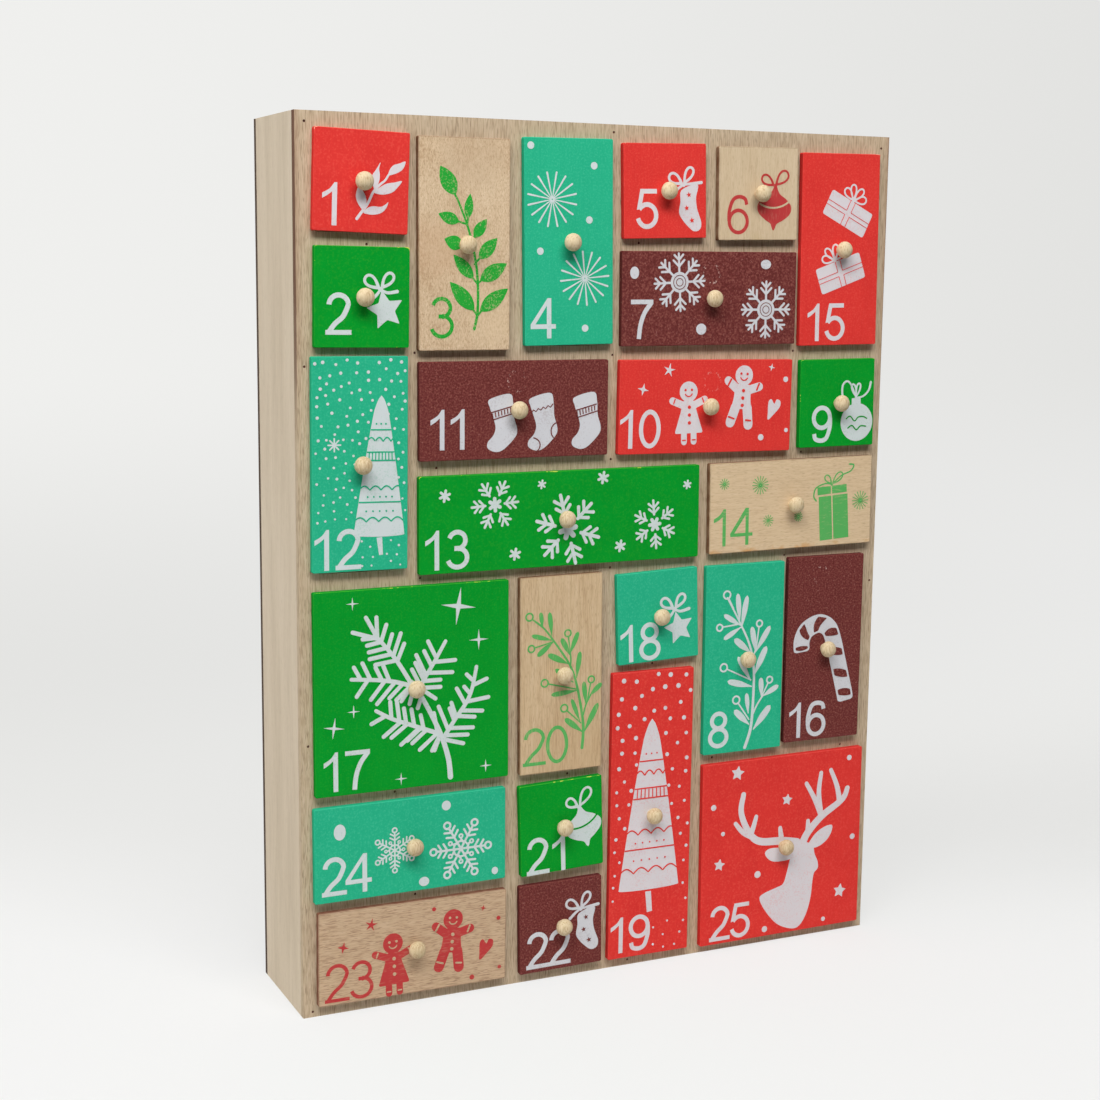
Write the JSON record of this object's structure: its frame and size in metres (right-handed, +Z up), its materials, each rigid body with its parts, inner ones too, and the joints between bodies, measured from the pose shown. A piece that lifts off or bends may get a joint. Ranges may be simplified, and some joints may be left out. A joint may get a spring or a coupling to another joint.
{
  "type": "wooden advent calendar",
  "caption": "Shallow upright wooden cabinet with a face sheet over a grid of numbered drawers of several sizes, each a small tray with a painted or bare front and a turned knob.",
  "frame": {"origin": "centre of the base's footprint, on the surface that the cabinet stands on", "axes": "+Z up, +X to the right seen from the front, -Y out of the front, the way the drawers pull out"},
  "size_m": [0.3, 0.0709, 0.4],
  "materials": {
    "case_wood": "bare sanded light wood",
    "face_plywood": "bare plywood, vertical grain",
    "back_hardboard": "smooth brown hardboard",
    "bare_front_wood": "bare sanded wood",
    "tray_wood": "bare pale wood",
    "red_paint": "matt paint on wood",
    "green_paint": "matt paint on wood",
    "teal_paint": "matt paint on wood",
    "brown_paint": "matt paint on wood",
    "brad_steel": "dark rusted brad",
    "tack_steel": "plain steel tack"
  },
  "bodies": {
    "cabinet": {"left_side_board": "case_wood", "right_side_board": "case_wood", "top_board": "case_wood", "bottom_board": "case_wood", "shelves": "case_wood", "partitions": "case_wood", "face_sheet": "face_plywood", "back_panel": "back_hardboard", "face_brads": "brad_steel", "back_tacks": "tack_steel"},
    "drawer_01": {"drawer_01_front": "red_paint", "drawer_01_tray_and_knob": "tray_wood"},
    "drawer_02": {"drawer_02_front": "green_paint", "drawer_02_tray_and_knob": "tray_wood"},
    "drawer_03": {"drawer_03_front": "bare_front_wood", "drawer_03_tray_and_knob": "tray_wood"},
    "drawer_04": {"drawer_04_front": "teal_paint", "drawer_04_tray_and_knob": "tray_wood"},
    "drawer_05": {"drawer_05_front": "red_paint", "drawer_05_tray_and_knob": "tray_wood"},
    "drawer_06": {"drawer_06_front": "bare_front_wood", "drawer_06_tray_and_knob": "tray_wood"},
    "drawer_07": {"drawer_07_front": "brown_paint", "drawer_07_tray_and_knob": "tray_wood"},
    "drawer_08": {"drawer_08_front": "teal_paint", "drawer_08_tray_and_knob": "tray_wood"},
    "drawer_09": {"drawer_09_front": "green_paint", "drawer_09_tray_and_knob": "tray_wood"},
    "drawer_10": {"drawer_10_front": "red_paint", "drawer_10_tray_and_knob": "tray_wood"},
    "drawer_11": {"drawer_11_front": "brown_paint", "drawer_11_tray_and_knob": "tray_wood"},
    "drawer_12": {"drawer_12_front": "teal_paint", "drawer_12_tray_and_knob": "tray_wood"},
    "drawer_13": {"drawer_13_front": "green_paint", "drawer_13_tray_and_knob": "tray_wood"},
    "drawer_14": {"drawer_14_front": "bare_front_wood", "drawer_14_tray_and_knob": "tray_wood"},
    "drawer_15": {"drawer_15_front": "red_paint", "drawer_15_tray_and_knob": "tray_wood"},
    "drawer_16": {"drawer_16_front": "brown_paint", "drawer_16_tray_and_knob": "tray_wood"},
    "drawer_17": {"drawer_17_front": "green_paint", "drawer_17_tray_and_knob": "tray_wood"},
    "drawer_18": {"drawer_18_front": "teal_paint", "drawer_18_tray_and_knob": "tray_wood"},
    "drawer_19": {"drawer_19_front": "red_paint", "drawer_19_tray_and_knob": "tray_wood"},
    "drawer_20": {"drawer_20_front": "bare_front_wood", "drawer_20_tray_and_knob": "tray_wood"},
    "drawer_21": {"drawer_21_front": "green_paint", "drawer_21_tray_and_knob": "tray_wood"},
    "drawer_22": {"drawer_22_front": "brown_paint", "drawer_22_tray_and_knob": "tray_wood"},
    "drawer_23": {"drawer_23_front": "bare_front_wood", "drawer_23_tray_and_knob": "tray_wood"},
    "drawer_24": {"drawer_24_front": "teal_paint", "drawer_24_tray_and_knob": "tray_wood"},
    "drawer_25": {"drawer_25_front": "red_paint", "drawer_25_tray_and_knob": "tray_wood"}
  },
  "joints": [
    {"name": "drawer_01_slide", "type": "slide", "parent": "cabinet", "child": "drawer_01", "axis": [0, -1, 0], "range_m": [0, 0.062]},
    {"name": "drawer_02_slide", "type": "slide", "parent": "cabinet", "child": "drawer_02", "axis": [0, -1, 0], "range_m": [0, 0.062]},
    {"name": "drawer_03_slide", "type": "slide", "parent": "cabinet", "child": "drawer_03", "axis": [0, -1, 0], "range_m": [0, 0.062]},
    {"name": "drawer_04_slide", "type": "slide", "parent": "cabinet", "child": "drawer_04", "axis": [0, -1, 0], "range_m": [0, 0.062]},
    {"name": "drawer_05_slide", "type": "slide", "parent": "cabinet", "child": "drawer_05", "axis": [0, -1, 0], "range_m": [0, 0.062]},
    {"name": "drawer_06_slide", "type": "slide", "parent": "cabinet", "child": "drawer_06", "axis": [0, -1, 0], "range_m": [0, 0.062]},
    {"name": "drawer_07_slide", "type": "slide", "parent": "cabinet", "child": "drawer_07", "axis": [0, -1, 0], "range_m": [0, 0.062]},
    {"name": "drawer_08_slide", "type": "slide", "parent": "cabinet", "child": "drawer_08", "axis": [0, -1, 0], "range_m": [0, 0.062]},
    {"name": "drawer_09_slide", "type": "slide", "parent": "cabinet", "child": "drawer_09", "axis": [0, -1, 0], "range_m": [0, 0.062]},
    {"name": "drawer_10_slide", "type": "slide", "parent": "cabinet", "child": "drawer_10", "axis": [0, -1, 0], "range_m": [0, 0.062]},
    {"name": "drawer_11_slide", "type": "slide", "parent": "cabinet", "child": "drawer_11", "axis": [0, -1, 0], "range_m": [0, 0.062]},
    {"name": "drawer_12_slide", "type": "slide", "parent": "cabinet", "child": "drawer_12", "axis": [0, -1, 0], "range_m": [0, 0.062]},
    {"name": "drawer_13_slide", "type": "slide", "parent": "cabinet", "child": "drawer_13", "axis": [0, -1, 0], "range_m": [0, 0.062]},
    {"name": "drawer_14_slide", "type": "slide", "parent": "cabinet", "child": "drawer_14", "axis": [0, -1, 0], "range_m": [0, 0.062]},
    {"name": "drawer_15_slide", "type": "slide", "parent": "cabinet", "child": "drawer_15", "axis": [0, -1, 0], "range_m": [0, 0.062]},
    {"name": "drawer_16_slide", "type": "slide", "parent": "cabinet", "child": "drawer_16", "axis": [0, -1, 0], "range_m": [0, 0.062]},
    {"name": "drawer_17_slide", "type": "slide", "parent": "cabinet", "child": "drawer_17", "axis": [0, -1, 0], "range_m": [0, 0.062]},
    {"name": "drawer_18_slide", "type": "slide", "parent": "cabinet", "child": "drawer_18", "axis": [0, -1, 0], "range_m": [0, 0.062]},
    {"name": "drawer_19_slide", "type": "slide", "parent": "cabinet", "child": "drawer_19", "axis": [0, -1, 0], "range_m": [0, 0.062]},
    {"name": "drawer_20_slide", "type": "slide", "parent": "cabinet", "child": "drawer_20", "axis": [0, -1, 0], "range_m": [0, 0.062]},
    {"name": "drawer_21_slide", "type": "slide", "parent": "cabinet", "child": "drawer_21", "axis": [0, -1, 0], "range_m": [0, 0.062]},
    {"name": "drawer_22_slide", "type": "slide", "parent": "cabinet", "child": "drawer_22", "axis": [0, -1, 0], "range_m": [0, 0.062]},
    {"name": "drawer_23_slide", "type": "slide", "parent": "cabinet", "child": "drawer_23", "axis": [0, -1, 0], "range_m": [0, 0.062]},
    {"name": "drawer_24_slide", "type": "slide", "parent": "cabinet", "child": "drawer_24", "axis": [0, -1, 0], "range_m": [0, 0.062]},
    {"name": "drawer_25_slide", "type": "slide", "parent": "cabinet", "child": "drawer_25", "axis": [0, -1, 0], "range_m": [0, 0.062]}
  ]
}
